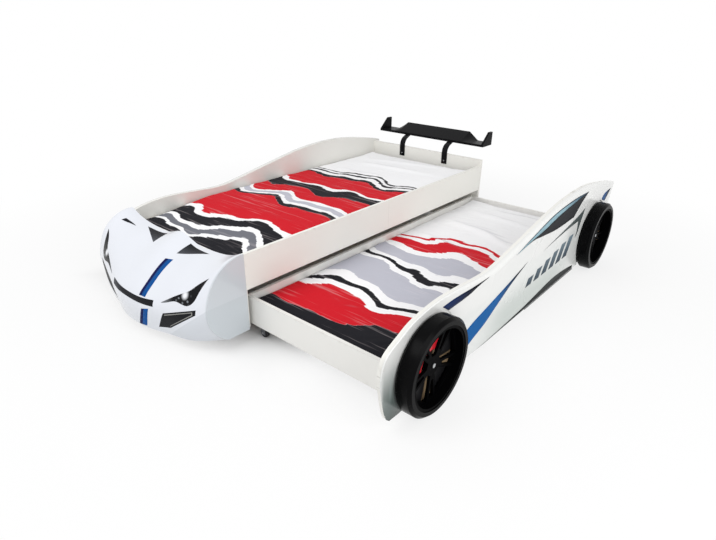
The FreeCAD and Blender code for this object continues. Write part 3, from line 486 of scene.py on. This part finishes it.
SIDE_SHAPES = [
    (wedge_film, (((-0.738, 0.399), (-0.655, 0.404), (-0.534, 0.404), (-0.405, 0.409)),
                  ((-0.405, 0.409), (-0.483, 0.394), (-0.559, 0.376), (-0.691, 0.366)),
                  ((-0.691, 0.366), (-0.738, 0.399)))),
    (swoosh_film, (((-0.527, 0.201), (-0.465, 0.221), (-0.367, 0.246), (-0.218, 0.280), (0.002, 0.333)),
                   ((0.002, 0.333), (-0.142, 0.276), (-0.272, 0.213), (-0.370, 0.165), (-0.460, 0.134),
                    (-0.499, 0.118)), ((-0.499, 0.118), (-0.527, 0.201)))),
    (frame_film, (WINDOW_TOP, WINDOW_FRAME[::-1])),
    (teal_film, (WINDOW_FRAME, WINDOW_WAIST[::-1], (WINDOW_WAIST[0], WINDOW_FRAME[0]))),
    (black_film, (WINDOW_WAIST, ((0.700, 0.520), (0.617, 0.470), (0.547, 0.411)),
                  ((0.547, 0.411), (0.312, 0.409), (0.120, 0.428), (0.006, 0.440), (-0.130, 0.4275)))),
    (grey_film, (((0.186, 0.328), (0.275, 0.342), (0.415, 0.363), (0.591, 0.390), (0.717, 0.419)),
                 ((0.717, 0.419), (0.693, 0.346), (0.671, 0.283), (0.646, 0.262)),
                 ((0.646, 0.262), (0.656, 0.288), (0.652, 0.325), (0.643, 0.362)),
                 ((0.643, 0.362), (0.473, 0.355), (0.275, 0.338), (0.186, 0.328)))),
    (sill_film, (((-0.420, 0.0605), (-0.200, 0.066), (-0.007, 0.074), (0.111, 0.082), (0.375, 0.105),
                  (0.560, 0.097), (0.690, 0.080)),
                 ((0.690, 0.0605), (-0.420, 0.0605)))),
    (tail_film, (((1.000, 0.402), (1.031, 0.434), (1.126, 0.447)),
                 ((1.126, 0.447), (1.110, 0.420), (1.068, 0.378)),
                 ((1.068, 0.378), (1.000, 0.402)))),
]
BARS, BAR_START, BAR_WIDTH, BAR_PITCH, BAR_LEAN = 6, 0.03, 0.062, 0.092, 0.055
BAR_FOOT, BAR_TOP, BAR_GROWTH = 0.184, 0.212, 0.085
for bar in range(BARS):
    start = BAR_START + bar * BAR_PITCH
    low, high = BAR_FOOT, BAR_TOP + BAR_GROWTH * (bar + 1) / BARS
    lean = BAR_LEAN * (high - low) / 0.1
    SIDE_SHAPES.append((bar_film, (((start, low), (start + lean, high)),
                                   ((start + lean + BAR_WIDTH, high), (start + BAR_WIDTH, low)),
                                   ((start + BAR_WIDTH, low), (start, low)))))
sticker("near_side_stickers", "near_side_shell", "left", SIDE_SHAPES, "trundle")
sticker("far_side_stickers", "far_side_shell", "right", SIDE_SHAPES, "main_bed")


# The four car wheels are trim: a satin black tyre and rim moulded in hard plastic, a dark brake disc with
# bronze fields, and a red caliper behind the spokes, all held by one bolt through the hub.
tyre = plastic_finish("satin_tyre", ink(10, 10, 11), 0.2, 350.0, 0.0002, 0.0, 0.035)
rim = plastic_finish("satin_rim", ink(6, 6, 7), 0.34, 600.0, 0.0001, 0.0, 0.01)
red = plastic_finish("caliper_red", ink(206, 34, 46), 0.25, 500.0, 0.0001, 0.4)
for side in ("near", "far"):
    for end in ("front", "rear"):
        dress(tyre, f"{side}_{end}_tyre")
        dress(rim, f"{side}_{end}_rim")
        dress(red, f"{side}_{end}_caliper")
        material, place = new_finish(f"{side}_{end}_disc")
        along, across, up = axes(place)
        low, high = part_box(f"{side}_{end}_brake_disc")
        centre = (low + high) / 2
        out_x, out_z = along - centre.x, up - centre.z
        reach = (out_x * out_x + out_z * out_z).maths("SQRT")
        rings = (reach * 2600).maths("SINE")
        five = (out_z.maths("ARCTAN2", out_x) * 5 - 0.75 * math.tau).maths("COSINE")
        bronze = ease(five, 0.5, 0.72) * ease(reach, 0.03, 0.04)
        shade(place, Base_Color=over(bronze, ink(20, 20, 22), ink(196, 168, 130)), Metallic=bronze * 0.5,
              Roughness=0.4 + 0.1 * abs(rings), Specular_IOR_Level=0.2, Normal=relief(rings, 0.0001, 0.3))
        dress(material, f"{side}_{end}_brake_disc")
    dress(zinc, f"{side}_wheel_bolts")


# The rear wing is a black satin moulding on two bent steel straps, which are painted black and screwed to the
# rear panel.
dress(plastic_finish("wing_black", ink(16, 16, 18), 0.3, 420.0, 0.0002, 0.0, 0.05), "rear_wing")
dress(steel_finish("black_strap", ink(30, 30, 32), 0.35), "near_wing_strap", "far_wing_strap")


# The second bed: low white boards round a base panel, on four small castors with steel forks and dark rubber
# wheels. Its outer side board is the car's near side.
for name in ("trundle_front_board", "trundle_rear_board", "trundle_inner_board", "trundle_base"):
    board_finish(name, ink(234, 233, 229))
dress(steel_finish("fork_steel", ink(120, 122, 126), 0.3), "castor_forks")
dress(plastic_finish("castor_rubber", ink(46, 46, 48), 0.55, 300.0, 0.0003),
      *[f"castor_wheel_{end}_{side}" for end in ("front", "rear") for side in ("inner", "outer")])


# The mattresses: foam slabs in a white cotton cover, rounded at the edges and a little fuller in the middle.
# One lies on the slats of the main bed, and one on the base of the second bed.
def weave_finish(name):
    """White cotton: a fine plain weave with softer and tighter patches."""
    material, place = new_finish(name)
    along, across, up = axes(place)
    threads = (along * 2200).maths("SINE") * (across * 2200).maths("SINE")
    soft = cloudy(place, 7.0)
    shade(place, Base_Color=over(soft, ink(232, 231, 230), ink(240, 240, 240)), Roughness=0.8 + 0.1 * soft,
          Sheen_Weight=0.15, Normal=relief(threads, 0.0002, 0.3))
    return material


def keep_mesh(piece):
    """Keeps what the modifiers have made as the piece's own mesh."""
    scene = bpy.context.evaluated_depsgraph_get()
    made = bpy.data.meshes.new_from_object(piece.evaluated_get(scene))
    piece.modifiers.clear()
    piece.data = made


def slab(name, low, high, step):
    """A closed block with its faces cut into a grid of cells."""
    mesh = bmesh.new()
    bmesh.ops.create_cube(mesh, size=1)
    for vert in mesh.verts:
        vert.co = Vector((low[k] + (vert.co[k] + 0.5) * (high[k] - low[k]) for k in range(3)))
    bmesh.ops.bevel(mesh, geom=mesh.edges[:], offset=0.014, segments=3, profile=0.5, affect="EDGES")
    piece = bpy.data.objects.new(name, bpy.data.meshes.new(name))
    mesh.to_mesh(piece.data)
    mesh.free()
    bpy.context.scene.collection.objects.link(piece)
    remesh = piece.modifiers.new("cells", "REMESH")
    remesh.mode = "VOXEL"
    remesh.voxel_size = step
    keep_mesh(piece)
    return piece


def swell(piece, cap, frames=20):
    """Blows the cover up a little with cloth under pressure, with no point moved further than the cap."""
    rest = [v.co.copy() for v in piece.data.vertices]
    cloth = piece.modifiers.new("pressure", "CLOTH")
    cloth.settings.use_pressure = True
    cloth.settings.uniform_pressure_force = 4
    cloth.settings.effector_weights.gravity = 0
    cloth.settings.quality = 4
    cloth.collision_settings.use_collision = False
    for number in range(1, frames + 1):
        bpy.context.scene.frame_set(number)
    keep_mesh(piece)
    for vert, start in zip(piece.data.vertices, rest):
        moved = vert.co - start
        if moved.length > cap:
            vert.co = start + moved * (cap / moved.length)
    bpy.context.scene.frame_set(1)


cotton = weave_finish("mattress_cotton")
PAD_INSET = 0.006
pads = {}
for bed, body in (("main", "main_bed"), ("trundle", "trundle")):
    low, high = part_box(f"{bed}_mattress")
    inset = Vector((PAD_INSET, PAD_INSET, PAD_INSET / 2))
    pad = slab(f"{bed}_mattress_pad", low + inset, high - inset, 0.018)
    swell(pad, 0.003)
    round_off = pad.modifiers.new("round", "SUBSURF")
    round_off.levels = round_off.render_levels = 1
    for face in pad.data.polygons:
        face.use_smooth = True
    pad.data.materials.append(cotton)
    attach(pad, body)
    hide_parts(f"{bed}_mattress")
    pads[bed] = pad


# The coverlets: printed cotton tucked in round the mattress, lying loosely enough to crease. Each has brushed
# bands of red, black and grey towards the foot and is plain white towards the head.
def tucked_sheet(name, low, high, edge, drop, step, swell_up):
    """A sheet that lies over a mattress and turns down all round. Gives the piece and its tucked points."""
    count = [round((high[k] - low[k] - 2 * edge) / step) for k in (0, 1)]
    inner = [[low[k] + edge + (high[k] - low[k] - 2 * edge) * n / count[k] for n in range(count[k] + 1)]
             for k in (0, 1)]
    mesh = bmesh.new()
    top = {}
    for i, x in enumerate(inner[0]):
        for j, y in enumerate(inner[1]):
            top[i, j] = mesh.verts.new((x, y, high.z + swell_up(x, y)))
    for i in range(count[0]):
        for j in range(count[1]):
            mesh.faces.new((top[i, j], top[i + 1, j], top[i + 1, j + 1], top[i, j + 1]))
    border = [(i, 0) for i in range(count[0])] + [(count[0], j) for j in range(count[1])]
    border += [(i, count[1]) for i in range(count[0], 0, -1)] + [(0, j) for j in range(count[1], 0, -1)]
    turns = [(edge * math.sin(a), edge * (1 - math.cos(a))) for a in (math.pi / 6, math.pi / 3, math.pi / 2)]
    turns += [(edge, edge + drop / 2), (edge, edge + drop)]
    before = [top[place] for place in border]
    tucked = []
    for out, fall in turns:
        ring = []
        for i, j in border:
            side_x = (i == count[0]) - (i == 0)
            side_y = (j == count[1]) - (j == 0)
            share = 0.75 if side_x and side_y else 1.0
            x, y = inner[0][i] + side_x * out * share, inner[1][j] + side_y * out * share
            ring.append(mesh.verts.new((x, y, high.z - fall)))
        for n in range(len(border)):
            after = (n + 1) % len(border)
            mesh.faces.new((before[n], ring[n], ring[after], before[after]))
        before = ring
        if fall >= edge:
            tucked += ring
    mesh.normal_update()
    mesh.verts.index_update()
    held = [v.index for v in tucked]
    piece = bpy.data.objects.new(name, bpy.data.meshes.new(name))
    mesh.to_mesh(piece.data)
    mesh.free()
    bpy.context.scene.collection.objects.link(piece)
    return piece, held


def settle(piece, held, under, frames=26):
    """Lets a sheet fall onto a mattress while its tucked edge is held."""
    group = piece.vertex_groups.new(name="tucked")
    group.add(held, 1.0, "REPLACE")
    under.modifiers.new("bed", "COLLISION")
    under.collision.thickness_outer = 0.002
    cloth = piece.modifiers.new("fall", "CLOTH")
    cloth.settings.vertex_group_mass = "tucked"
    cloth.settings.quality = 5
    cloth.settings.mass = 0.15
    cloth.settings.tension_stiffness = cloth.settings.compression_stiffness = 12
    cloth.settings.shear_stiffness = 6
    cloth.settings.bending_stiffness = 0.6
    cloth.settings.air_damping = 2
    cloth.collision_settings.distance_min = 0.0025
    for number in range(1, frames + 1):
        bpy.context.scene.frame_set(number)
    keep_mesh(piece)
    under.modifiers.remove(under.modifiers["bed"])
    piece.vertex_groups.clear()
    bpy.context.scene.frame_set(1)


FOLD_STEEP, FOLD_GENTLE = 0.018, 0.06


def crease(piece, level, folds):
    """Raises long folds in a settled sheet, steep on one side and easing out on the other."""
    for start, end, height in folds:
        start, way = Vector(start), Vector(end) - Vector(start)
        across = Vector((way.y, -way.x)).normalized()
        for vert in piece.data.vertices:
            place = vert.co.xy - start
            share = place.dot(way) / way.length_squared
            if vert.co.z > level and 0 < share < 1:
                off = place.dot(across) + 0.05 * noise.noise(Vector((3 * share, 9 * start.x, 0)))
                width = FOLD_GENTLE if off > 0 else FOLD_STEEP
                vert.co.z += height * math.sin(math.pi * share) * math.exp(-abs(off) / width)


FOOT_SLOPE, FOOT_PRESS = 0.48, 0.52


def lower_foot(piece, base, foot):
    """Presses a piece of bedding down towards the foot of the main bed, and leaves its underside."""
    for vert in piece.data.vertices:
        share = max(0.0, min(1.0, (FOOT_SLOPE - vert.co.x + foot) / FOOT_SLOPE))
        press = 1 - FOOT_PRESS * share * share * (3 - 2 * share)
        vert.co.z = base + (vert.co.z - base) * press


def print_finish(name, bands, foot, seed):
    """Printed cotton: wavy brushed bands across the bed on white, with painted shade where a fold leans to
    the head.

    Each band is its start and end from the foot, in metres, and its colour."""
    material, place = new_finish(name)
    along, across, up = axes(place)
    moved = place.node("VectorMath", {"operation": "ADD"}, {0: place, 1: (seed, seed, 0)})
    waves = (cloudy(moved, 2.6, 1.0, (0.7, 1, 0)) - 0.5) * 0.42
    frayed = (cloudy(moved, 30.0, 2.0, (1.5, 0.25, 0)) - 0.5) * 0.04
    run = along - foot + waves + frayed
    soft = cloudy(place, 7.0)
    tone = over(soft, ink(245, 245, 247), ink(251, 251, 252))
    inked = None
    for start, end, colour in bands:
        band = ease(run, start - 0.002, start + 0.002) & ease(run, end + 0.002, end - 0.002)
        tone = over(band, tone, colour)
        inked = band if inked is None else inked | band
    streaks = cloudy(moved, 24.0, 4.0, (2.2, 0.1, 0))
    tone = over(ease(streaks, 0.56, 0.7) * inked * 0.18, tone, ink(238, 226, 228))
    # Painted shade on the fold slopes that lean to the head, away from the light.
    lean = axes(place.also("Normal"))[0]
    tone = over(ease(lean, 0.06, 0.34) * 0.45, tone, ink(166, 163, 176))
    threads = (along * 2200).maths("SINE") * (across * 2200).maths("SINE")
    shade(place, Base_Color=tone, Roughness=0.72 + 0.12 * soft, Specular_IOR_Level=0.15,
          Normal=relief(threads + 6 * cloudy(place, 60.0, 2.0), 0.0003, 0.35))
    return material


RED, BLACK, GREY, SILVER = ink(206, 24, 38), ink(22, 22, 28), ink(112, 114, 122), ink(190, 191, 202)
PRINTS = {
    "main": ((-0.2, 0.07, BLACK), (0.10, 0.15, GREY), (0.19, 0.29, BLACK), (0.33, 0.62, RED),
             (0.62, 0.66, BLACK), (0.69, 0.74, SILVER), (0.77, 0.90, RED), (0.90, 1.00, BLACK),
             (1.03, 1.24, RED), (1.24, 1.28, BLACK), (1.32, 1.345, BLACK), (1.37, 1.39, BLACK)),
    "trundle": ((-0.2, 0.15, BLACK), (0.15, 0.31, RED), (0.36, 0.40, BLACK), (0.47, 0.70, SILVER),
                (0.74, 0.78, BLACK), (0.83, 0.96, SILVER), (1.02, 1.11, RED), (1.15, 1.18, RED)),
}
# Each fold is its two ends on the bed and its height.
FOLDS = {
    "main": (((0.80, 0.02), (0.66, 0.84), 0.015), ((0.96, 0.06), (0.84, 0.82), 0.013),
             ((0.47, 0.80), (0.52, 0.25), 0.010), ((0.10, 0.60), (0.16, 0.0), 0.006),
             ((-0.55, 0.70), (-0.48, 0.05), 0.006)),
    "trundle": (((0.37, -0.84), (0.60, -0.05), 0.022), ((0.70, -0.76), (0.86, -0.08), 0.016),
                ((0.97, -0.22), (0.92, -0.84), 0.012), ((0.28, -0.06), (0.16, -0.60), 0.010),
                ((-0.30, -0.30), (-0.42, -0.84), 0.006), ((-0.66, -0.10), (-0.72, -0.66), 0.005)),
}
COVER_EDGE, COVER_DROP, COVER_STEP, COVER_THICK = 0.012, 0.030, 0.016, 0.0012
for bed, body in (("main", "main_bed"), ("trundle", "trundle")):
    low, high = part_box(f"{bed}_mattress")
    seed = 3.0 if bed == "main" else 40.0

    def lifted(x, y):
        """How high the sheet lies before it falls: shallow waves, most of them across the bed."""
        long_waves = noise.noise(Vector((5.5 * x, 2.0 * y, seed)))
        short_waves = noise.noise(Vector((14 * x + 3 * y, 9 * y, seed + 9)))
        return 0.010 + 0.012 * long_waves + 0.007 * short_waves

    cover, held = tucked_sheet(f"{bed}_coverlet_sheet", low, high, COVER_EDGE, COVER_DROP, COVER_STEP, lifted)
    settle(cover, held, pads[bed])
    crease(cover, high.z - COVER_EDGE / 2, FOLDS[bed])
    if bed == "main":
        for piece in (pads[bed], cover):
            lower_foot(piece, low.z, low.x)
    for face in cover.data.polygons:
        face.use_smooth = True
    thick = cover.modifiers.new("cloth", "SOLIDIFY")
    thick.thickness = COVER_THICK
    thick.offset = 1
    smooth = cover.modifiers.new("smooth", "SUBSURF")
    smooth.levels = smooth.render_levels = 1
    cover.data.materials.append(print_finish(f"{bed}_print", PRINTS[bed], low.x, seed))
    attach(cover, body)
    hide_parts(f"{bed}_coverlet")


# The studio: a pale floor that fades to white round the bed, an even white surround, a broad soft light above
# the nose and a fill from the side.
floor = bpy.data.objects.new("floor", bpy.data.meshes.new("floor"))
mesh = bmesh.new()
bmesh.ops.create_grid(mesh, x_segments=2, y_segments=2, size=20)
mesh.to_mesh(floor.data)
mesh.free()
bpy.context.scene.collection.objects.link(floor)
material, place = new_finish("pale_floor")
shade(place, Base_Color=ink(238, 238, 238), Roughness=0.9, Specular_IOR_Level=0.1)
lit = place.node("LightPath")
along, across, up = axes(place)
low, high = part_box("slats")
outside = (abs(along - (low.x + high.x) / 2) - (high.x - low.x) / 2) | (
    abs(across - (low.y + high.y) / 2) - (high.y - low.y) / 2)
away = (along * along + across * across).maths("SQRT")
share = ease(outside, 0.0, 0.4) * 0.78 + ease(away, 1.4, 3.2) * 0.22
seen = (lit | lit.also("Is Glossy Ray") | lit.also("Is Transmission Ray")) * share
white = place.node("Emission", (), {"Color": (1, 1, 1, 1), "Strength": 1.0})
shader = Field(place.tree, place.tree.nodes["Principled BSDF"].outputs[0])
blend = place.node("MixShader", (), {0: seen, 1: shader, 2: white})
place.tree.links.new(blend.socket, place.tree.nodes["Material Output"].inputs["Surface"])
floor.data.materials.append(material)
floor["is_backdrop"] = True

world = bpy.data.worlds.new("studio")
world.use_nodes = True
bpy.context.scene.world = world
sky = world.node_tree.nodes["Background"]
sky.inputs["Color"].default_value = (1, 1, 1, 1)
lit = Field(world.node_tree, world.node_tree.nodes.new("ShaderNodeLightPath").outputs["Is Camera Ray"])
seen = lit | lit.also("Is Glossy Ray") | lit.also("Is Transmission Ray")
world.node_tree.links.new((seen * 0.33 + 0.67).socket, sky.inputs["Strength"])


def lamp(name, place, target, size, watts):
    """A round soft light at a place, turned to its target."""
    light = bpy.data.lights.new(name, "AREA")
    light.shape = "DISK"
    light.size = size
    light.energy = watts
    holder = bpy.data.objects.new(name, light)
    holder.location = place
    holder.rotation_euler = (Vector(target) - Vector(place)).to_track_quat("-Z", "Y").to_euler()
    bpy.context.scene.collection.objects.link(holder)


lamp("key", (-3.0, 0.6, 3.6), (-0.2, 0.0, 0.3), 2.4, 60)
lamp("fill", (-1.2, -4.2, 2.6), (0.0, -0.4, 0.2), 3.0, 78)


# The camera stands off the car's near front corner, above the bonnet, and looks down along the bed. Its
# place, turn and lens come from the vanishing points of the bed's straight edges.
camera = bpy.data.objects.new("camera", bpy.data.cameras.new("camera"))
camera.data.sensor_width = 36
camera.data.lens = 26.53
RIGHT, DOWN, FORWARD = (0.6498, -0.7600, 0.0122), (-0.3190, -0.2872, -0.9032), (0.6899, 0.5830, -0.4291)
turn = Matrix((RIGHT, tuple(-c for c in DOWN), tuple(-c for c in FORWARD))).transposed()
camera.matrix_world = Matrix.Translation((-2.2335, -1.774, 1.350)) @ turn.to_4x4()
bpy.context.scene.collection.objects.link(camera)
bpy.context.scene.camera = camera
bpy.context.scene.view_settings.view_transform = "Standard"

low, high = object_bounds()
